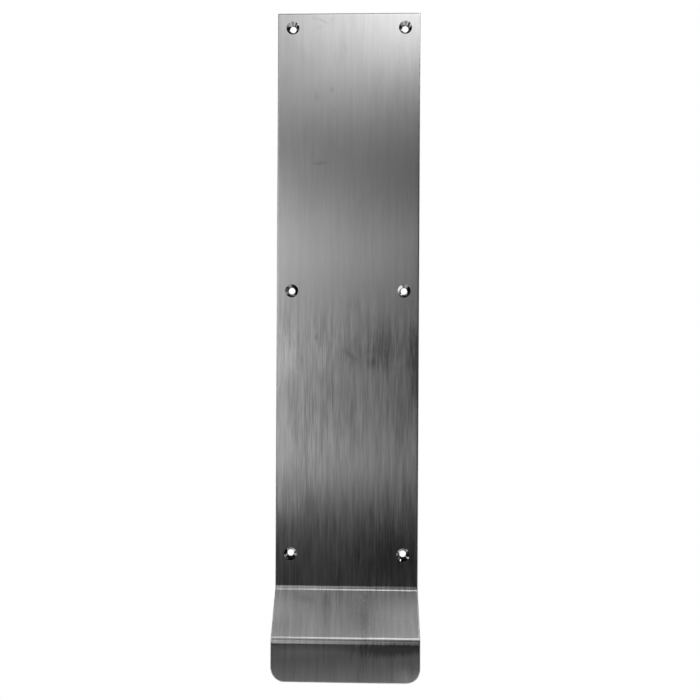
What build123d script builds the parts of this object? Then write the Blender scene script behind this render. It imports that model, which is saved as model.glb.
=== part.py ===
"""A door pull plate folded from one steel sheet, with a lip at its foot that fingers reach behind."""

import os

from build123d import *

# Millimetres. X runs across the plate, +Z up the door, and -Y out into the room. The origin lies on the
# back face, midway between the middle pair of screws.

# Sheet
SHEET_THICKNESS = 3.175
PLATE_WIDTH = 101.6

# Fold lines, where the front faces would meet if the bends were sharp
PLATE_HEIGHT = 410.0
SLANT_DROP = 27.5
LIP_OFFSET = 22.1
LIP_HEIGHT = 28.4
BEND_RADIUS = 5.0

# Corners and edges
LIP_CORNER_RADIUS = 9.5
FRONT_EDGE_RADIUS = 0.8
BACK_EDGE_BREAK = 0.3

# Countersunk screw holes, in two columns and three rows
SCREW_INSET_SIDE = 10.7
SCREW_INSET_TOP = 10.5
SCREW_ROW_PITCH = 187.7
SCREW_COLUMNS = 2
SCREW_ROWS = 3
SCREW_BORE = 4.6
COUNTERSINK_DIAMETER = 9.3
COUNTERSINK_ANGLE = 82

# Levels, measured from the middle row of screws
top_z = SCREW_ROW_PITCH + SCREW_INSET_TOP
first_bend_z = top_z - PLATE_HEIGHT
second_bend_z = first_bend_z - SLANT_DROP
bottom_z = second_bend_z - LIP_HEIGHT

# Depths of the front faces
plate_front_y = -SHEET_THICKNESS
lip_front_y = plate_front_y - LIP_OFFSET

# The sheet keeps its thickness through a bend, so the outside of a bend is wider than its inside
outer_bend_radius = BEND_RADIUS + SHEET_THICKNESS

screw_column_pitch = PLATE_WIDTH - 2 * SCREW_INSET_SIDE
plate_front = Plane(origin=(0, plate_front_y, 0), x_dir=(1, 0, 0), z_dir=(0, -1, 0))


def outline(faces: ShapeList[Face]) -> ShapeList[Edge]:
    """The outer edges of one side of the folded sheet, without the lines where its bends begin and end."""
    bend_lines = faces.edges().filter_by(Axis.X).sort_by(Axis.Z)[1:-1]
    return faces.edges() - bend_lines


with BuildPart() as pull_plate:
    # The folded section is drawn along the front of the sheet, from the top edge to the foot of the lip
    with BuildSketch(Plane.YZ):
        with BuildLine():
            FilletPolyline(
                (plate_front_y, top_z),
                (plate_front_y, first_bend_z),
                (lip_front_y, second_bend_z),
                (lip_front_y, bottom_z),
                radius=[BEND_RADIUS, outer_bend_radius],
            )
            offset(amount=SHEET_THICKNESS, side=Side.LEFT)
        make_face()
    extrude(amount=PLATE_WIDTH / 2, both=True)

    # The lip's bottom corners are cut round
    lip_corners = pull_plate.edges().filter_by(Axis.Y).group_by(Axis.Z)[0]
    fillet(lip_corners, radius=LIP_CORNER_RADIUS)

    # The front is eased all round, and the back is only freed of its burr
    front_faces = pull_plate.faces().filter_by(lambda face: face.normal_at().Y < -0.5)
    fillet(outline(front_faces), radius=FRONT_EDGE_RADIUS)
    back_faces = pull_plate.faces().filter_by(lambda face: face.normal_at().Y > 0.5)
    chamfer(outline(back_faces), length=BACK_EDGE_BREAK)

    with Locations(plate_front):
        with GridLocations(screw_column_pitch, SCREW_ROW_PITCH, SCREW_COLUMNS, SCREW_ROWS):
            CounterSinkHole(
                radius=SCREW_BORE / 2,
                counter_sink_radius=COUNTERSINK_DIAMETER / 2,
                counter_sink_angle=COUNTERSINK_ANGLE,
            )

os.makedirs("parts", exist_ok=True)
pull_plate.part.label = "pull_plate"
export_step(pull_plate.part, "parts/pull_plate.step")
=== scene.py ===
"""A brushed stainless door pull plate, folded from one sheet, in plain studio light."""

import logging
import math
from dataclasses import dataclass
from enum import Enum

import bmesh
import bpy
from mathutils import Matrix, Vector


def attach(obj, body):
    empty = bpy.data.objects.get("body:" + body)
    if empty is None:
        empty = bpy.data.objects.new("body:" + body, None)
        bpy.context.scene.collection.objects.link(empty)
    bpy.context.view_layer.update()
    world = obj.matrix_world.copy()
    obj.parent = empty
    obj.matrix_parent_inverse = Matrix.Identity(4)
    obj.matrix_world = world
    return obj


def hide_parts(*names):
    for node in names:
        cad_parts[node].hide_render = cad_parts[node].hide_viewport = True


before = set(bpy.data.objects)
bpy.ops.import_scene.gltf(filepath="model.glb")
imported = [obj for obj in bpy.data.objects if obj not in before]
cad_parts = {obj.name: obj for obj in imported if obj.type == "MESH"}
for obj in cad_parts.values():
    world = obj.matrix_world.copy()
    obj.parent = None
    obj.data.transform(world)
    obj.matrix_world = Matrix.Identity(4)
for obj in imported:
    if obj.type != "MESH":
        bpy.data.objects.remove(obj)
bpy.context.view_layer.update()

log = logging.getLogger("pull_plate")

MM = 0.001
SHEET_MAP = "Sheet"
NODE_SPACING = 180


class Surface(Enum):
    """The finishes on the sheet, in the order of its material slots."""

    BRUSHED = 0
    EASED = 1
    COUNTERSUNK = 2
    MILL = 3


class NodeGraph:
    """Adds nodes to one node tree and joins them."""

    def __init__(self, tree: bpy.types.NodeTree) -> None:
        """Starts with an empty tree.

        Args:
            tree: The tree of a material, a world or a node group.
        """
        self.tree = tree
        tree.nodes.clear()

    def add(self, kind: str, **settings: object) -> bpy.types.Node:
        """Adds a node to the right of the last one.

        Args:
            kind: The node's type name.
            settings: Properties of the node, by name.

        Returns:
            The new node.
        """
        node = self.tree.nodes.new(kind)
        node.location = (NODE_SPACING * len(self.tree.nodes), 0)
        for name, value in settings.items():
            setattr(node, name, value)
        return node

    def feed(self, target: bpy.types.NodeSocket, value: object) -> None:
        """Gives an input a link from an output, or a plain value.

        Args:
            target: The input to fill.
            value: An output socket, or a number, colour or vector.
        """
        if isinstance(value, bpy.types.NodeSocket):
            self.tree.links.new(value, target)
        else:
            target.default_value = value

    def math(self, operation: str, *values: object) -> bpy.types.NodeSocket:
        """Adds a Math node.

        Args:
            operation: The node's operation.
            values: What each input takes, in order.

        Returns:
            The node's output.
        """
        node = self.add("ShaderNodeMath", operation=operation)
        for target, value in zip(node.inputs, values):
            self.feed(target, value)
        return node.outputs["Value"]

    def vector(self, operation: str, *values: object) -> bpy.types.NodeSocket:
        """Adds a Vector Math node.

        Args:
            operation: The node's operation.
            values: What each input takes, in order.

        Returns:
            The node's number for a length, and its vector for anything else.
        """
        node = self.add("ShaderNodeVectorMath", operation=operation)
        for target, value in zip(node.inputs, values):
            self.feed(target, value)
        return node.outputs["Value" if operation == "LENGTH" else "Vector"]

    def ease(
        self, value: object, start: float, end: float, low: float = 0.0, high: float = 1.0
    ) -> bpy.types.NodeSocket:
        """Turns a range of values smoothly into another, held at both ends.

        Args:
            value: The value to turn.
            start: The value that becomes low.
            end: The value that becomes high.
            low: The result at start and beyond it.
            high: The result at end and beyond it.

        Returns:
            The turned value.
        """
        node = self.add("ShaderNodeMapRange", interpolation_type="SMOOTHSTEP")
        for target, number in zip(node.inputs, (value, start, end, low, high)):
            self.feed(target, number)
        return node.outputs["Result"]

    def blend(self, share: object, first: object, second: object) -> bpy.types.NodeSocket:
        """Mixes two colours.

        Args:
            share: How much of the second colour shows.
            first: The colour at a share of 0.
            second: The colour at a share of 1.

        Returns:
            The mixed colour.
        """
        node = self.add("ShaderNodeMix", data_type="RGBA")
        colours = [socket for socket in node.inputs if socket.type == "RGBA"]
        for target, value in zip((node.inputs[0], *colours), (share, first, second)):
            self.feed(target, value)
        return next(socket for socket in node.outputs if socket.type == "RGBA")

    def place(self, group: bpy.types.NodeTree, **values: object) -> bpy.types.Node:
        """Places a node group and fills its inputs.

        Args:
            group: The group's tree.
            values: What each named input takes.

        Returns:
            The group's node.
        """
        node = self.add("ShaderNodeGroup", node_tree=group)
        for name, value in values.items():
            self.feed(node.inputs[name], value)
        return node


def grey(level: float) -> tuple[float, float, float, float]:
    """A neutral colour of one level."""
    return (level, level, level, 1.0)


def new_material(name: str) -> tuple[bpy.types.Material, NodeGraph]:
    """Starts a material.

    Args:
        name: The material's name.

    Returns:
        The material, and the graph inside it.
    """
    material = bpy.data.materials.new(name)
    material.use_nodes = True
    return material, NodeGraph(material.node_tree)


def new_group(
    name: str, inputs: dict[str, str], outputs: list[str]
) -> tuple[NodeGraph, bpy.types.Node, bpy.types.Node]:
    """Starts a shader node group.

    Args:
        name: The group's name.
        inputs: Each input's name and socket type.
        outputs: The names of its outputs, which are all plain values.

    Returns:
        The graph inside the group, its input node and its output node.
    """
    tree = bpy.data.node_groups.new(name, "ShaderNodeTree")
    graph = NodeGraph(tree)
    for label, kind in inputs.items():
        tree.interface.new_socket(label, in_out="INPUT", socket_type=kind)
    for label in outputs:
        tree.interface.new_socket(label, in_out="OUTPUT", socket_type="NodeSocketFloat")
    return graph, graph.add("NodeGroupInput"), graph.add("NodeGroupOutput")


def add_to_scene(name: str, data: bpy.types.ID) -> bpy.types.Object:
    """Puts a mesh, a lamp or a camera in the scene.

    Args:
        name: The new object's name.
        data: What the object shows.

    Returns:
        The object, at the origin.
    """
    thing = bpy.data.objects.new(name, data)
    bpy.context.scene.collection.objects.link(thing)
    return thing


@dataclass(frozen=True)
class Noise:
    """A random pattern with values around 0.5, and the span of them that is turned from low to high."""

    scale: float
    detail: float
    distortion: float = 0.0
    dimensions: str = "3D"
    span: tuple[float, float] = (0.3, 0.7)
    low: float = 0.0
    high: float = 1.0

    def drawn(self, graph: NodeGraph, place: bpy.types.NodeSocket) -> bpy.types.NodeSocket:
        """Adds the pattern.

        Args:
            graph: The graph to add it to.
            place: Where it is read.

        Returns:
            Its plain values.
        """
        node = graph.add("ShaderNodeTexNoise", noise_dimensions=self.dimensions)
        graph.feed(node.inputs["Vector"], place)
        graph.feed(node.inputs["Scale"], self.scale)
        graph.feed(node.inputs["Detail"], self.detail)
        graph.feed(node.inputs["Distortion"], self.distortion)
        return node.outputs["Fac"]

    def eased(self, graph: NodeGraph, place: bpy.types.NodeSocket) -> bpy.types.NodeSocket:
        """Adds the pattern with more contrast.

        Args:
            graph: The graph to add it to.
            place: Where it is read.

        Returns:
            Its values, eased from low to high over the span.
        """
        return graph.ease(self.drawn(graph, place), *self.span, self.low, self.high)


class BrushGrain:
    """Lines left by a brushing belt: fine ones, and the broader streaks that they gather into."""

    FINE = Noise(scale=1.0, detail=3.0, dimensions="2D")
    STREAKS = Noise(scale=0.3, detail=2.0, dimensions="2D")

    def __init__(self) -> None:
        """Builds the group once, for every finish that shows the grain."""
        graph, given, result = new_group(
            "Brush grain",
            {"Place": "NodeSocketVector", "Across": "NodeSocketFloat", "Along": "NodeSocketFloat"},
            ["Fine", "Streaks"],
        )
        stretch = graph.add("ShaderNodeCombineXYZ")
        graph.feed(stretch.inputs["X"], given.outputs["Across"])
        graph.feed(stretch.inputs["Y"], given.outputs["Along"])
        stretched = graph.vector("MULTIPLY", given.outputs["Place"], stretch.outputs["Vector"])
        graph.feed(result.inputs["Fine"], self.FINE.eased(graph, stretched))
        graph.feed(result.inputs["Streaks"], self.STREAKS.eased(graph, stretched))
        self.tree = graph.tree


class HandlingMarks:
    """What hands and cloths leave: faint smears, small stains, and a stretch where they rub the plate.

    The rubbed stretch starts just above the middle screws and goes on down. The brush lines stand out
    most there, in patches, and half as much on the parts that are folded out.
    """

    SMEARS = Noise(scale=1.0, detail=3.0, distortion=0.6, span=(0.48, 0.72))
    STAINS = Noise(scale=4.5, detail=4.0, distortion=0.6, span=(0.64, 0.76))
    PATCHES = Noise(scale=0.9, detail=1.0, span=(0.35, 0.65), low=0.7, high=1.2)
    RUBBED_FROM = 10.0 * MM
    FULLY_RUBBED = -45.0 * MM
    RUBBED_ABOVE = 0.18
    FOLDED_OUT = -9.0 * MM
    ON_PLATE = -4.0 * MM
    RUBBED_ON_FOLD = 0.5

    def __init__(self) -> None:
        """Builds the group once, for every finish that is handled."""
        graph, given, result = new_group(
            "Handling marks",
            {"Place": "NodeSocketVector", "Size": "NodeSocketVector"},
            ["Smears", "Stains", "Rubbed"],
        )
        place = given.outputs["Place"]
        sized = graph.vector("DIVIDE", place, given.outputs["Size"])
        graph.feed(result.inputs["Smears"], self.SMEARS.eased(graph, sized))
        graph.feed(result.inputs["Stains"], self.STAINS.eased(graph, sized))

        parts = graph.add("ShaderNodeSeparateXYZ")
        graph.feed(parts.inputs["Vector"], place)
        below = graph.ease(parts.outputs["Z"], self.RUBBED_FROM, self.FULLY_RUBBED, self.RUBBED_ABOVE)
        on_plate = graph.ease(parts.outputs["Y"], self.FOLDED_OUT, self.ON_PLATE, self.RUBBED_ON_FOLD)
        patches = self.PATCHES.eased(graph, sized)
        rubbed = graph.math("MULTIPLY", patches, graph.math("MULTIPLY", below, on_plate))
        graph.feed(result.inputs["Rubbed"], rubbed)
        self.tree = graph.tree


class MarkAndLightSpotShape:
    """A soft spot on the front of the sheet, stretched and tilted, whose rim is ragged along the grain."""

    FLECKS = Noise(scale=420.0, detail=2.0)
    FLECK_STRETCH = (1.6, 1.6, 0.3)
    RAGGEDNESS = 0.9
    RIM = 1.15

    def __init__(self) -> None:
        """Builds the group once, for every spot: each mark and each patch of painted light."""
        graph, given, result = new_group(
            "MarkAndLightSpot",
            {
                "Place": "NodeSocketVector",
                "Centre": "NodeSocketVector",
                "Reach": "NodeSocketVector",
                "Tilt": "NodeSocketFloat",
            },
            ["Mask"],
        )
        away = graph.vector("SUBTRACT", given.outputs["Place"], given.outputs["Centre"])
        turn = graph.add("ShaderNodeVectorRotate", rotation_type="Y_AXIS")
        graph.feed(turn.inputs["Vector"], graph.vector("MULTIPLY", away, (1.0, 0.0, 1.0)))
        graph.feed(turn.inputs["Angle"], given.outputs["Tilt"])
        scaled = graph.vector("DIVIDE", turn.outputs["Vector"], given.outputs["Reach"])
        inward = graph.math("SUBTRACT", graph.vector("LENGTH", scaled), self.RAGGEDNESS / 2)
        stretched = graph.vector("MULTIPLY", given.outputs["Place"], self.FLECK_STRETCH)
        flecks = self.FLECKS.drawn(graph, stretched)
        ragged = graph.math("MULTIPLY_ADD", flecks, self.RAGGEDNESS, inward)
        graph.feed(result.inputs["Mask"], graph.ease(ragged, self.RIM, 0.0))
        self.tree = graph.tree


@dataclass(frozen=True)
class MarkAndLightSpot:
    """One spot, in millimetres: its middle, and how far it reaches across and along the sheet.

    It is tilted in degrees. A strength above 0 darkens the steel, and one below 0 brightens it. A spot is a
    mark on the steel, or painted shade, a painted reflection or a painted highlight.
    """

    x: float
    z: float
    across: float
    along: float
    strength: float
    tilt: float = 0.0

    def mask(
        self, graph: NodeGraph, shape: MarkAndLightSpotShape, place: bpy.types.NodeSocket
    ) -> bpy.types.NodeSocket:
        """How strongly the spot shows at a place.

        Args:
            graph: The material's graph.
            shape: The shape that all the spots share.
            place: Where on the sheet, in object coordinates.

        Returns:
            The smudge's mask.
        """
        spot = graph.place(
            shape.tree,
            Place=place,
            Centre=(self.x * MM, 0.0, self.z * MM),
            Reach=(self.across * MM, 1.0, self.along * MM),
            Tilt=math.radians(self.tilt),
        )
        return graph.math("MULTIPLY", spot.outputs["Mask"], self.strength)


@dataclass(frozen=True)
class SteelFinish:
    """One finish of bare steel, and how strongly its grain, its marks and its painted light show.

    The grain's scales are in humps for each metre of the sheet. Its depth, and the size of the marks across,
    out of and along the sheet, are in metres.
    """

    name: str
    colour: float
    colour_swing: float
    roughness: float
    roughness_swing: float
    anisotropy: float
    grain_across: float
    grain_along: float
    grain_depth: float
    smears: float
    stains: float
    rubbed: bool = False
    mark_size: tuple[float, float, float] = (34.0 * MM, 34.0 * MM, 50.0 * MM)
    marks_and_painted_light: tuple[MarkAndLightSpot, ...] = ()

    def material(
        self, grain: BrushGrain, marks: HandlingMarks, mark_and_light_shape: MarkAndLightSpotShape
    ) -> bpy.types.Material:
        """Makes the finish.

        Args:
            grain: The brush lines.
            marks: The smears, the stains and the rubbed stretch.
            mark_and_light_shape: The shape of every spot, for marks and for painted light.

        Returns:
            A material whose grain follows the sheet round its bends.
        """
        material, graph = new_material(self.name)
        sheet = graph.add("ShaderNodeUVMap", uv_map=SHEET_MAP).outputs["UV"]
        solid = graph.add("ShaderNodeTexCoord").outputs["Object"]
        lines = graph.place(
            grain.tree, Place=sheet, Across=self.grain_across, Along=self.grain_along
        ).outputs
        hands = graph.place(marks.tree, Place=solid, Size=self.mark_size).outputs
        rubbed = hands["Rubbed"] if self.rubbed else 1.0

        # The grain's mean is 0.5, which is taken off so that it darkens as much as it brightens.
        both = graph.math("MULTIPLY_ADD", lines["Streaks"], 0.5, graph.math("MULTIPLY", lines["Fine"], 0.5))
        brushed = graph.math("MULTIPLY", graph.math("SUBTRACT", both, 0.5), rubbed)
        smeared = graph.math("MULTIPLY", hands["Smears"], self.smears)
        soiled_and_painted_light = graph.math("MULTIPLY", hands["Stains"], self.stains)
        # The spots add marks, painted shade, painted reflections and painted highlights to the stains.
        for spot in self.marks_and_painted_light:
            soiled_and_painted_light = graph.math("ADD", soiled_and_painted_light, spot.mask(graph, mark_and_light_shape, solid))

        # A tone of -1 gives the darkest colour, and one of 1 the palest.
        tone = graph.math("SUBTRACT", brushed, graph.math("ADD", smeared, soiled_and_painted_light))
        darkest, palest = grey(self.colour - self.colour_swing), grey(self.colour + self.colour_swing)
        colour = graph.blend(graph.math("MULTIPLY_ADD", tone, 0.5, 0.5), darkest, palest)
        uneven = graph.math("ADD", smeared, brushed)
        roughness = graph.math("MULTIPLY_ADD", uneven, self.roughness_swing, self.roughness)
        bump = graph.add("ShaderNodeBump")
        graph.feed(bump.inputs["Distance"], self.grain_depth)
        graph.feed(bump.inputs["Height"], graph.math("MULTIPLY", lines["Streaks"], rubbed))
        tangent = graph.add("ShaderNodeTangent", direction_type="UV_MAP", uv_map=SHEET_MAP)

        steel = graph.add("ShaderNodeBsdfPrincipled")
        graph.feed(steel.inputs["Metallic"], 1.0)
        graph.feed(steel.inputs["Anisotropic"], self.anisotropy)
        graph.feed(steel.inputs["Base Color"], colour)
        graph.feed(steel.inputs["Roughness"], roughness)
        graph.feed(steel.inputs["Normal"], bump.outputs["Normal"])
        graph.feed(steel.inputs["Tangent"], tangent.outputs["Tangent"])
        out = graph.add("ShaderNodeOutputMaterial")
        graph.feed(out.inputs["Surface"], steel.outputs["BSDF"])
        return material


# Marks on the steel, and painted shade, painted reflections and painted highlights, where the photograph
# shows them.
MARKS_AND_PAINTED_LIGHT_ON_PLATE = (
    # Scuffs beside the top left screw hole.
    MarkAndLightSpot(x=-22.5, z=194.0, across=6.0, along=1.3, strength=0.26, tilt=-14),
    MarkAndLightSpot(x=-17.0, z=191.8, across=5.0, along=1.2, strength=0.24, tilt=-20),
    MarkAndLightSpot(x=-12.2, z=193.6, across=1.9, along=1.5, strength=0.26),
    MarkAndLightSpot(x=-22.0, z=187.8, across=5.0, along=1.8, strength=0.14, tilt=25),
    # Small spots further down.
    MarkAndLightSpot(x=-12.1, z=143.6, across=2.4, along=2.8, strength=0.3),
    MarkAndLightSpot(x=-23.3, z=139.0, across=1.6, along=7.0, strength=0.22, tilt=4),
    MarkAndLightSpot(x=-20.5, z=91.0, across=7.5, along=1.8, strength=0.36, tilt=5),
    MarkAndLightSpot(x=1.2, z=-10.4, across=1.8, along=4.0, strength=0.15),
    MarkAndLightSpot(x=-22.6, z=-33.3, across=1.8, along=3.0, strength=0.45),
    # A dark patch below the middle screws. Painted shade darkens the broad stretch to its right, and painted
    # reflections pale the steel at its left and at the left edge.
    MarkAndLightSpot(x=2.5, z=-46.0, across=8.0, along=2.6, strength=0.36, tilt=-38),
    MarkAndLightSpot(x=16.5, z=-51.5, across=6.0, along=5.0, strength=0.35),
    MarkAndLightSpot(x=3.0, z=-43.0, across=11.0, along=19.0, strength=0.28),
    MarkAndLightSpot(x=-16.0, z=-45.0, across=12.0, along=17.0, strength=-0.25),
    MarkAndLightSpot(x=36.0, z=-40.0, across=34.0, along=26.0, strength=0.55),
    MarkAndLightSpot(x=-49.0, z=-48.0, across=19.0, along=26.0, strength=-0.7),
    # A painted reflection of something dark: a dark line and a darker strip along the right edge. A painted
    # reflection also pales the left edge lower down.
    MarkAndLightSpot(x=49.5, z=-55.0, across=8.0, along=41.0, strength=0.9),
    MarkAndLightSpot(x=50.4, z=-30.0, across=1.3, along=175.0, strength=0.7),
    MarkAndLightSpot(x=-49.0, z=-112.0, across=9.0, along=70.0, strength=-0.2),
    # A small dark spot on the foot of the plate. Painted shade darkens the foot towards the right, and a
    # painted reflection pales its left side.
    MarkAndLightSpot(x=16.9, z=-159.0, across=3.6, along=12.0, strength=0.6),
    MarkAndLightSpot(x=34.0, z=-190.0, across=40.0, along=31.0, strength=0.75),
    MarkAndLightSpot(x=-48.0, z=-155.0, across=16.0, along=18.0, strength=-0.45),
)
MARKS_AND_PAINTED_LIGHT_ON_SLANT = (
    # A faint dark spot under the first bend, and two dark streaks between sides that painted reflections
    # make paler.
    MarkAndLightSpot(x=-30.0, z=-217.5, across=10.0, along=3.0, strength=0.3, tilt=-10),
    MarkAndLightSpot(x=-14.3, z=-219.0, across=3.8, along=7.0, strength=0.45, tilt=-5),
    MarkAndLightSpot(x=-14.3, z=-229.0, across=4.6, along=16.0, strength=0.18),
    MarkAndLightSpot(x=-24.0, z=-231.0, across=8.0, along=14.0, strength=-0.2),
    MarkAndLightSpot(x=11.0, z=-227.0, across=9.0, along=17.0, strength=0.4, tilt=5),
    MarkAndLightSpot(x=13.0, z=-230.0, across=4.2, along=13.0, strength=0.36, tilt=3),
    MarkAndLightSpot(x=38.0, z=-224.0, across=22.0, along=10.0, strength=-0.4),
    MarkAndLightSpot(x=-46.0, z=-224.0, across=20.0, along=9.0, strength=-0.3),
)
PAINTED_LIGHT_ON_LIP = (
    # Painted shade: a band under the second bend, darkest at the right, and a faint darkening over the lip.
    # A painted reflection pales the band's left end, and a painted highlight brightens the lower right
    # corner.
    MarkAndLightSpot(x=20.0, z=-243.6, across=75.0, along=3.4, strength=0.5),
    MarkAndLightSpot(x=14.0, z=-257.0, across=60.0, along=14.0, strength=0.15),
    MarkAndLightSpot(x=33.0, z=-244.5, across=33.0, along=6.0, strength=1.2, tilt=3),
    MarkAndLightSpot(x=-30.0, z=-246.0, across=36.0, along=6.0, strength=-0.6, tilt=3),
    MarkAndLightSpot(x=46.0, z=-266.0, across=18.0, along=9.0, strength=-0.9, tilt=-30),
)

FINISHES = {
    Surface.BRUSHED: SteelFinish(
        name="brushed_steel",
        colour=0.56,
        colour_swing=0.3,
        roughness=0.29,
        roughness_swing=0.025,
        anisotropy=0.75,
        grain_across=1100.0,
        grain_along=50.0,
        grain_depth=0.008 * MM,
        smears=0.12,
        stains=0.12,
        rubbed=True,
        marks_and_painted_light=MARKS_AND_PAINTED_LIGHT_ON_PLATE + MARKS_AND_PAINTED_LIGHT_ON_SLANT + PAINTED_LIGHT_ON_LIP,
    ),
    Surface.EASED: SteelFinish(
        name="eased_edge_steel",
        colour=0.62,
        colour_swing=0.06,
        roughness=0.24,
        roughness_swing=0.03,
        anisotropy=0.3,
        grain_across=1100.0,
        grain_along=32.0,
        grain_depth=0.002 * MM,
        smears=0.1,
        stains=0.0,
    ),
    Surface.COUNTERSUNK: SteelFinish(
        name="countersunk_steel",
        colour=0.66,
        colour_swing=0.06,
        roughness=0.1,
        roughness_swing=0.02,
        anisotropy=0.0,
        grain_across=3000.0,
        grain_along=3000.0,
        grain_depth=0.001 * MM,
        smears=0.1,
        stains=0.0,
    ),
    Surface.MILL: SteelFinish(
        name="mill_steel",
        colour=0.5,
        colour_swing=0.09,
        roughness=0.42,
        roughness_swing=0.04,
        anisotropy=0.2,
        grain_across=900.0,
        grain_along=24.0,
        grain_depth=0.008 * MM,
        smears=0.4,
        stains=0.6,
    ),
}


@dataclass
class PullPlate:
    """The folded sheet: a flat plate, a slanted face and a lip, with countersunk screw holes.

    Its sizes are the real ones, in metres. The middle pair of screws is at a height of 0, the back of the
    plate is at a depth of 0, and the front faces -Y.

    Points within the tolerance count as one. A face looks forwards or back where its normal has more than
    the facing share along Y, edge on where it has less than the edge-on share, and sideways where it has
    more than the side-on share along X.
    """

    thickness: float = 3.175 * MM
    width: float = 101.6 * MM
    plate_height: float = 410.0 * MM
    slant_drop: float = 27.5 * MM
    lip_offset: float = 22.1 * MM
    lip_height: float = 28.4 * MM
    bend_radius: float = 5.0 * MM
    lip_corner_radius: float = 9.5 * MM
    front_edge_radius: float = 0.8 * MM
    back_edge_break: float = 0.3 * MM
    screw_inset_side: float = 10.7 * MM
    screw_inset_top: float = 10.5 * MM
    screw_row_pitch: float = 187.7 * MM
    bore_radius: float = 2.3 * MM
    countersink_radius: float = 4.65 * MM
    countersink_angle: float = math.radians(82)
    screw_field: float = 8.0 * MM
    hole_sides: int = 64
    bend_steps: int = 20
    corner_steps: int = 20
    edge_steps: int = 6
    crisp_angle: float = math.radians(30)
    tolerance: float = 0.01 * MM
    facing: float = 0.5
    edge_on: float = 0.1
    side_on: float = 0.8

    def __post_init__(self) -> None:
        """Works out where the front of the sheet, its folds and its screws are."""
        self.front = -self.thickness
        self.half = self.width / 2
        self.top = self.screw_row_pitch + self.screw_inset_top
        self.bottom = self.top - self.plate_height - self.slant_drop - self.lip_height
        self.fold_angle = math.atan2(self.lip_offset, self.slant_drop)
        self.outer_bend_radius = self.bend_radius + self.thickness
        self.first_setback = self.bend_radius * math.tan(self.fold_angle / 2)
        self.second_setback = self.outer_bend_radius * math.tan(self.fold_angle / 2)
        column = self.half - self.screw_inset_side
        self.columns = (-column, column)
        self.rows = (self.screw_row_pitch, 0.0, -self.screw_row_pitch)
        self.screws = [Vector((x, self.front, z)) for z in self.rows for x in self.columns]

    def build(self) -> bpy.types.Object:
        """Folds, drills and finishes the sheet.

        Returns:
            The plate's object.
        """
        sheet = bmesh.new()
        plate = self.draw_front(sheet)
        self.bore_screw_holes(sheet, plate)
        self.thicken(sheet)
        self.countersink(sheet)
        self.round_lip_corners(sheet)
        eased = self.ease_outline(sheet, -1, self.front_edge_radius, self.edge_steps)
        self.ease_outline(sheet, 1, self.back_edge_break, 1)
        self.sort_surfaces(sheet, eased)
        self.map_sheet(sheet)
        mesh = bpy.data.meshes.new("pull_plate_sheet")
        sheet.to_mesh(mesh)
        sheet.free()
        piece = add_to_scene("pull_plate_sheet", mesh)
        flat_light = piece.modifiers.new("Flat faces stay flat", "WEIGHTED_NORMAL")
        flat_light.keep_sharp = True
        return piece

    def draw_front(self, sheet: bmesh.types.BMesh) -> bmesh.types.BMFace:
        """Draws the sheet's front from its top edge down, round both bends and down the lip.

        Args:
            sheet: The mesh to draw in.

        Returns:
            The face of the flat plate.
        """
        down = Vector((0.0, 0.0, -1.0))
        slope = Vector((0.0, -math.sin(self.fold_angle), -math.cos(self.fold_angle)))
        inward = Vector((0.0, math.cos(self.fold_angle), -math.sin(self.fold_angle)))
        slant = math.hypot(self.lip_offset, self.slant_drop) - self.first_setback - self.second_setback

        ends = [sheet.verts.new((x, self.front, self.top)) for x in (-self.half, self.half)]
        edge = sheet.edges.new(ends)
        edge = self.draw_on(sheet, edge, down * (self.plate_height - self.first_setback))
        plate = edge.link_faces[0]
        edge = self.bend(sheet, edge, Vector((0.0, -self.bend_radius, 0.0)), -self.fold_angle)
        edge = self.draw_on(sheet, edge, slope * slant)
        edge = self.bend(sheet, edge, inward * self.outer_bend_radius, self.fold_angle)
        self.draw_on(sheet, edge, down * (self.lip_height - self.second_setback))
        return plate

    @staticmethod
    def draw_on(sheet: bmesh.types.BMesh, edge: bmesh.types.BMEdge, way: Vector) -> bmesh.types.BMEdge:
        """Draws a flat face on from an edge.

        Args:
            sheet: The mesh to draw in.
            edge: The edge that the face starts from.
            way: How far to draw, and where.

        Returns:
            The edge that the face ends at.
        """
        drawn = bmesh.ops.extrude_edge_only(sheet, edges=[edge])["geom"]
        ends = [part for part in drawn if isinstance(part, bmesh.types.BMVert)]
        bmesh.ops.translate(sheet, vec=way, verts=ends)
        return sheet.edges.get(ends)

    def bend(
        self, sheet: bmesh.types.BMesh, edge: bmesh.types.BMEdge, to_centre: Vector, angle: float
    ) -> bmesh.types.BMEdge:
        """Turns the sheet round a bend.

        Args:
            sheet: The mesh to draw in.
            edge: The edge that the bend starts from.
            to_centre: The way from that edge to the bend's centre line.
            angle: How far the sheet turns about +X.

        Returns:
            The edge that the bend ends at.
        """
        turned = bmesh.ops.spin(
            sheet,
            geom=[edge, *edge.verts],
            cent=edge.verts[0].co + to_centre,
            axis=(1.0, 0.0, 0.0),
            angle=angle,
            steps=self.bend_steps,
        )["geom_last"]
        return next(part for part in turned if isinstance(part, bmesh.types.BMEdge))

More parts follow.
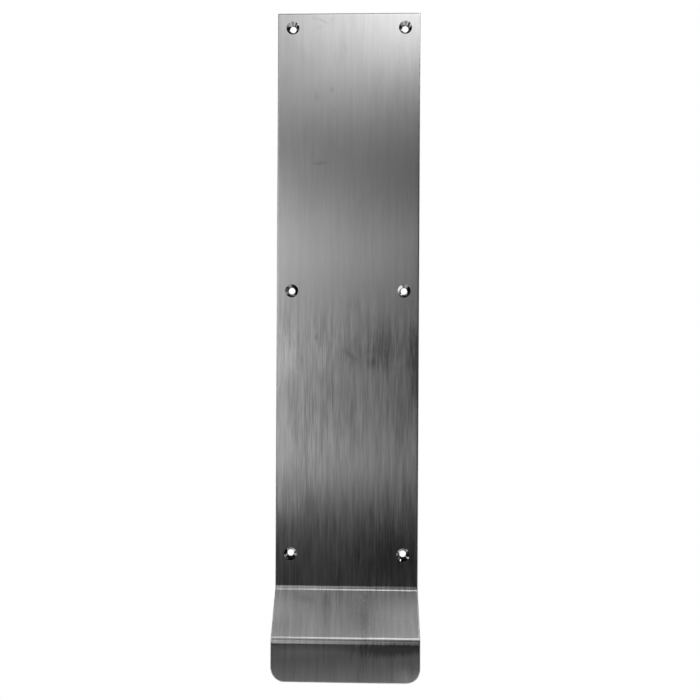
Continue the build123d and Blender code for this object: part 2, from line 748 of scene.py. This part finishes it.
    def bore_screw_holes(self, sheet: bmesh.types.BMesh, plate: bmesh.types.BMFace) -> None:
        """Marks out a square field round each screw, and opens a bore inside it.

        Args:
            sheet: The mesh of the sheet's front.
            plate: The face of the flat plate.
        """
        fields = [plate]
        for axis, middles in (
            (Vector((1.0, 0.0, 0.0)), self.columns),
            (Vector((0.0, 0.0, 1.0)), self.rows),
        ):
            for place in sorted(middle + way * self.screw_field for middle in middles for way in (-1, 1)):
                fields = self.cut_fields(sheet, fields, axis, place)
        for screw in self.screws:
            square = min(fields, key=lambda face: (face.calc_center_median() - screw).length)
            fields.remove(square)
            bmesh.ops.bisect_edges(sheet, edges=list(square.edges), cuts=self.hole_sides // 4 - 1)
            bmesh.ops.inset_individual(sheet, faces=[square], thickness=0.0)
            for vertex in square.verts:
                vertex.co = screw + (vertex.co - screw).normalized() * self.bore_radius
            bmesh.ops.delete(sheet, geom=[square], context="FACES_ONLY")

    def cut_fields(
        self, sheet: bmesh.types.BMesh, fields: list[bmesh.types.BMFace], axis: Vector, place: float
    ) -> list[bmesh.types.BMFace]:
        """Cuts the faces of the flat plate straight across.

        Args:
            sheet: The mesh of the sheet's front.
            fields: The faces to cut.
            axis: The way that is square to the cut.
            place: Where along the axis the cut is.

        Returns:
            The faces after the cut.
        """
        parts = dict.fromkeys(part for face in fields for part in (face, *face.edges, *face.verts))
        cut = bmesh.ops.bisect_plane(
            sheet, geom=list(parts), dist=self.tolerance, plane_co=axis * place, plane_no=axis
        )["geom"]
        return [part for part in cut if isinstance(part, bmesh.types.BMFace)]

    def thicken(self, sheet: bmesh.types.BMesh) -> None:
        """Gives the sheet its thickness, behind its front.

        Args:
            sheet: The mesh of the sheet's front.
        """
        bmesh.ops.recalc_face_normals(sheet, faces=sheet.faces)
        if next(iter(sheet.faces)).normal.y > 0:
            bmesh.ops.reverse_faces(sheet, faces=sheet.faces)
        bmesh.ops.solidify(sheet, geom=sheet.faces, thickness=self.thickness)
        bmesh.ops.recalc_face_normals(sheet, faces=sheet.faces)

    def countersink(self, sheet: bmesh.types.BMesh) -> None:
        """Opens the front of each bore into a cone.

        Args:
            sheet: The mesh of the sheet.
        """
        depth = (self.countersink_radius - self.bore_radius) / math.tan(self.countersink_angle / 2)
        widen = self.countersink_radius / self.bore_radius
        for screw in self.screws:
            bore = self.bore_vertices(sheet, screw)
            walls = [
                edge
                for edge in sheet.edges
                if set(edge.verts) <= bore and abs(edge.verts[0].co.y - edge.verts[1].co.y) > self.tolerance
            ]
            bmesh.ops.subdivide_edges(sheet, edges=walls, cuts=1, use_grid_fill=True)
            rim, seat = (
                [v for v in self.bore_vertices(sheet, screw) if abs(v.co.y - level) < self.tolerance]
                for level in (self.front, self.front / 2)
            )
            bmesh.ops.translate(sheet, vec=(0.0, self.front / 2 + depth, 0.0), verts=seat)
            bmesh.ops.scale(sheet, vec=(widen, 1.0, widen), space=Matrix.Translation(-screw), verts=rim)

    def bore_vertices(self, sheet: bmesh.types.BMesh, screw: Vector) -> set[bmesh.types.BMVert]:
        """The vertices of one screw's bore."""
        return {
            vertex
            for vertex in sheet.verts
            if abs(self.from_axis(vertex.co, screw) - self.bore_radius) < self.tolerance
        }

    def round_lip_corners(self, sheet: bmesh.types.BMesh) -> None:
        """Rounds the two bottom corners of the lip.

        Args:
            sheet: The mesh of the sheet.
        """
        corners = [
            edge
            for edge in sheet.edges
            if all(abs(vertex.co.z - self.bottom) < self.tolerance for vertex in edge.verts)
            and abs(edge.verts[0].co.x + edge.verts[1].co.x) > self.width - self.tolerance
        ]
        self.round_off(sheet, corners, self.lip_corner_radius, self.corner_steps)

    def ease_outline(
        self, sheet: bmesh.types.BMesh, side: int, size: float, steps: int
    ) -> set[bmesh.types.BMFace]:
        """Rounds or breaks the outline of one side of the sheet.

        Args:
            sheet: The mesh of the sheet.
            side: -1 for the front, 1 for the back.
            size: How far the easing reaches from the edge.
            steps: How many facets it has.

        Returns:
            The new faces along the edge.
        """
        outline = [
            edge
            for edge in sheet.edges
            if max(side * face.normal.y for face in edge.link_faces) > self.facing
            and min(abs(face.normal.y) for face in edge.link_faces) < self.edge_on
            and not self.at_screw(edge.verts[0].co)
        ]
        return self.round_off(sheet, outline, size, steps)

    @staticmethod
    def round_off(
        sheet: bmesh.types.BMesh, edges: list[bmesh.types.BMEdge], size: float, steps: int
    ) -> set[bmesh.types.BMFace]:
        """Rounds edges off.

        Args:
            sheet: The mesh of the sheet.
            edges: The edges to round.
            size: How far the rounding reaches from them.
            steps: How many facets it has.

        Returns:
            The new faces.
        """
        rounded = bmesh.ops.bevel(
            sheet,
            geom=edges,
            offset=size,
            offset_type="OFFSET",
            segments=steps,
            profile=0.5,
            affect="EDGES",
            material=-1,
        )
        return set(rounded["faces"])

    @staticmethod
    def from_axis(point: Vector, screw: Vector) -> float:
        """How far a point is from a screw's axis."""
        return math.hypot(point.x - screw.x, point.z - screw.z)

    def at_screw(self, point: Vector) -> bool:
        """Whether a point is in one of the countersinks."""
        reach = self.countersink_radius + self.tolerance
        return any(self.from_axis(point, screw) < reach for screw in self.screws)

    def sort_surfaces(self, sheet: bmesh.types.BMesh, eased: set[bmesh.types.BMFace]) -> None:
        """Gives each face its finish, and marks the edges that stay crisp.

        Args:
            sheet: The mesh of the sheet.
            eased: The faces of the rounded front outline.
        """
        for face in sheet.faces:
            face.smooth = True
            if all(self.at_screw(vertex.co) for vertex in face.verts):
                surface = Surface.COUNTERSUNK
            elif face in eased or abs(face.normal.y) < self.edge_on:
                surface = Surface.EASED
            else:
                surface = Surface.BRUSHED if face.normal.y < 0 else Surface.MILL
            face.material_index = surface.value
        for edge in sheet.edges:
            edge.smooth = edge.calc_face_angle(0.0) < self.crisp_angle

    def map_sheet(self, sheet: bmesh.types.BMesh) -> None:
        """Lays out the map that the grain follows: across the sheet, and down it round both bends.

        Args:
            sheet: The mesh of the sheet.
        """
        layer = sheet.loops.layers.uv.new(SHEET_MAP)
        for face in sheet.faces:
            on_side = abs(face.normal.x) > self.side_on
            for loop in face.loops:
                x, y, z = loop.vert.co
                loop[layer].uv = (x + math.copysign(y, x), z) if on_side else (x, z + y)


@dataclass(frozen=True)
class Softbox:
    """A soft lamp panel in front of the plate.

    Its edges are angles in degrees, to the right of straight ahead and above level, as the camera sees
    them mirrored in the flat of the plate. Its level is how bright it is, where white is 1, and its
    distance is in metres from the camera's mirror image.
    """

    name: str
    across: tuple[float, float]
    above: tuple[float, float]
    level: float
    distance: float = 2.5

    def light(self, mirrored_eye: Vector) -> bpy.types.Object:
        """Hangs the panel, facing the plate.

        Args:
            mirrored_eye: Where the camera appears to be, behind the plate.

        Returns:
            The lamp's object.
        """
        azimuth, elevation = (math.radians(sum(edges) / 2) for edges in (self.across, self.above))
        flat = math.cos(elevation)
        way = Vector((math.sin(azimuth) * flat, -math.cos(azimuth) * flat, math.sin(elevation)))
        half_across, half_above = (math.radians((high - low) / 2) for low, high in (self.across, self.above))
        lamp = bpy.data.lights.new(self.name, "AREA")
        lamp.shape = "RECTANGLE"
        lamp.size = 2 * self.distance * math.tan(half_across) * flat
        lamp.size_y = 2 * self.distance * math.tan(half_above)
        lamp.energy = self.level * math.pi * lamp.size * lamp.size_y
        panel = add_to_scene(self.name, lamp)
        panel.location = mirrored_eye + way * self.distance
        panel.rotation_euler = way.to_track_quat("Z", "Y").to_euler()
        panel.visible_camera = False
        return panel


@dataclass(frozen=True)
class Studio:
    """A pale floor far below, a white backdrop, and a dim room in front of the plate with lamps in it.

    The floor's sizes are in metres. The room's are shares of a way of length 1 out of the plate's middle:
    how far down, sideways, forwards or back it points where one part of the room fades into the next.
    """

    mirrored_eye: Vector
    floor_drop: float = 0.95
    floor_radius: float = 1.14
    floor_clear: float = 0.3
    floor_sides: int = 96
    floor_colour: float = 0.8
    floor_glow: float = 0.65
    room: float = 0.003
    far_floor: float = 0.01
    far_floor_down: tuple[float, float] = (-0.36, -0.59)
    side_walls: float = 0.3
    side_walls_sideways: tuple[float, float] = (0.8, 0.97)
    side_walls_back: tuple[float, float] = (0.05, -0.1)
    backdrop_back: tuple[float, float] = (0.5, 0.9)
    lamps: tuple[Softbox, ...] = (
        Softbox("ceiling_bank", across=(-1.5, 58), above=(27.5, 39.5), level=2.35),
        Softbox("left_wall", across=(-36, -23), above=(3, 46.5), level=1.95),
        Softbox("strip_light", across=(-23, -10.5), above=(-13, 16), level=1.9, distance=8.0),
        Softbox("upper_panel", across=(-12, 5), above=(20.5, 35), level=0.65),
        Softbox("middle_strip", across=(-5.5, 6.5), above=(8, 10.5), level=1.15, distance=8.0),
        Softbox("low_strip", across=(-7.5, 3), above=(-12, -9), level=1.1),
        Softbox("low_left", across=(-38, -32), above=(-20, -18), level=1.1),
        Softbox("overhead_right", across=(58, 108), above=(47, 60), level=2.2),
        Softbox("right_wall", across=(46, 66), above=(-34, -8), level=0.45),
        Softbox("left_lamp", across=(-68, -56), above=(1, 10), level=2.0, distance=1.04),
        Softbox("white_card", across=(4, 20), above=(-60, -37), level=1.6, distance=0.75),
    )

    def set_up(self) -> None:
        """Builds the floor, the world and the lamps."""
        self.lay_floor()
        self.fill_room()
        for softbox in self.lamps:
            softbox.light(self.mirrored_eye)

    def lay_floor(self) -> bpy.types.Object:
        """Lays the round floor, which is pale to the camera and fades into the white surround at its rim.

        Returns:
            The floor's object.
        """
        disc = bmesh.new()
        bmesh.ops.create_circle(
            disc,
            cap_ends=True,
            segments=self.floor_sides,
            radius=self.floor_radius,
            matrix=Matrix.Translation((0.0, 0.0, -self.floor_drop)),
        )
        mesh = bpy.data.meshes.new("floor")
        disc.to_mesh(mesh)
        disc.free()
        mesh.materials.append(self.floor_material())
        floor = add_to_scene("floor", mesh)
        return floor

    def floor_material(self) -> bpy.types.Material:
        """Makes the floor's paint, which the lamps light, and its white glow towards the camera.

        Returns:
            The floor's material.
        """
        material, graph = new_material("pale_floor")
        solid = graph.add("ShaderNodeTexCoord").outputs["Object"]
        out_from_middle = graph.vector("LENGTH", graph.vector("MULTIPLY", solid, (1.0, 1.0, 0.0)))
        pale = graph.ease(out_from_middle, self.floor_clear, self.floor_radius, self.floor_glow)
        faded = graph.ease(out_from_middle, self.floor_clear, self.floor_radius)
        path = graph.add("ShaderNodeLightPath").outputs
        mirrored = graph.math("MAXIMUM", path["Is Glossy Ray"], path["Is Transmission Ray"])
        in_metal = graph.math("MULTIPLY", faded, mirrored)
        to_camera = graph.math("MULTIPLY", pale, path["Is Camera Ray"])

        paint = graph.add("ShaderNodeBsdfDiffuse")
        graph.feed(paint.inputs["Color"], grey(self.floor_colour))
        white = graph.add("ShaderNodeEmission")
        mixed = graph.add("ShaderNodeMixShader")
        graph.feed(mixed.inputs["Fac"], graph.math("MAXIMUM", in_metal, to_camera))
        graph.feed(mixed.inputs[1], paint.outputs["BSDF"])
        graph.feed(mixed.inputs[2], white.outputs["Emission"])
        out = graph.add("ShaderNodeOutputMaterial")
        graph.feed(out.inputs["Surface"], mixed.outputs["Shader"])
        return material

    def fill_room(self) -> None:
        """Lights the surroundings: white behind the plate, grey beside it, and a dim room in front of it."""
        world = bpy.data.worlds.new("studio")
        world.use_nodes = True
        bpy.context.scene.world = world
        graph = NodeGraph(world.node_tree)
        way = graph.add("ShaderNodeSeparateXYZ")
        graph.feed(way.inputs["Vector"], graph.add("ShaderNodeTexCoord").outputs["Generated"])
        ahead = graph.ease(way.outputs["Z"], *self.far_floor_down, self.room, self.far_floor)
        sideways = graph.ease(graph.math("ABSOLUTE", way.outputs["X"]), *self.side_walls_sideways)
        beside = graph.math("MULTIPLY", sideways, graph.ease(way.outputs["Y"], *self.side_walls_back))
        around = graph.blend(beside, ahead, grey(self.side_walls))
        seen = graph.blend(graph.ease(way.outputs["Y"], *self.backdrop_back), around, grey(1.0))
        path = graph.add("ShaderNodeLightPath").outputs
        background = graph.add("ShaderNodeBackground")
        graph.feed(background.inputs["Color"], graph.blend(path["Is Camera Ray"], seen, grey(1.0)))
        out = graph.add("ShaderNodeOutputWorld")
        graph.feed(out.inputs["Surface"], background.outputs["Background"])


@dataclass(frozen=True)
class ProductCamera:
    """The photograph's view: a little below the middle screws, and nearly square to the plate.

    The lens and the sensor are in millimetres, as Blender takes them.
    """

    across: float = 11.24 * MM
    distance: float = 440.0 * MM
    height: float = -42.05 * MM
    yaw: float = math.radians(1.24)
    roll: float = math.radians(0.288)
    lens: float = 31.53
    sensor: float = 36.0
    nearest: float = 10.0 * MM

    def mirrored(self, depth: float) -> Vector:
        """Where the camera appears to be in a mirror that faces it at some depth."""
        return Vector((self.across, 2 * depth + self.distance, self.height))

    def set_up(self) -> None:
        """Places the camera and makes it the scene's own."""
        camera = bpy.data.cameras.new("product_camera")
        camera.lens = self.lens
        camera.sensor_width = self.sensor
        camera.clip_start = self.nearest
        view = add_to_scene("product_camera", camera)
        stand = Matrix.Translation((self.across, -self.distance, self.height))
        aim = Matrix.Rotation(self.yaw, 4, "Z") @ Matrix.Rotation(math.pi / 2, 4, "X")
        view.matrix_world = stand @ aim @ Matrix.Rotation(self.roll, 4, "Z")
        bpy.context.scene.camera = view


def main() -> None:
    """Builds the plate, dresses it, and sets up the studio and the camera."""
    logging.basicConfig(level=logging.INFO, format="%(name)s: %(message)s")
    bpy.context.scene.view_settings.view_transform = "Standard"
    sheet, camera = PullPlate(), ProductCamera()
    camera.set_up()
    Studio(camera.mirrored(sheet.front)).set_up()
    log.info("studio and camera set up")

    effects = BrushGrain(), HandlingMarks(), MarkAndLightSpotShape()
    plate = sheet.build()
    for surface in Surface:
        plate.data.materials.append(FINISHES[surface].material(*effects))
    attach(plate, "root")
    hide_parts("pull_plate")
    log.info("%s has %d faces", plate.name, len(plate.data.polygons))


if __name__ == "__main__":
    main()
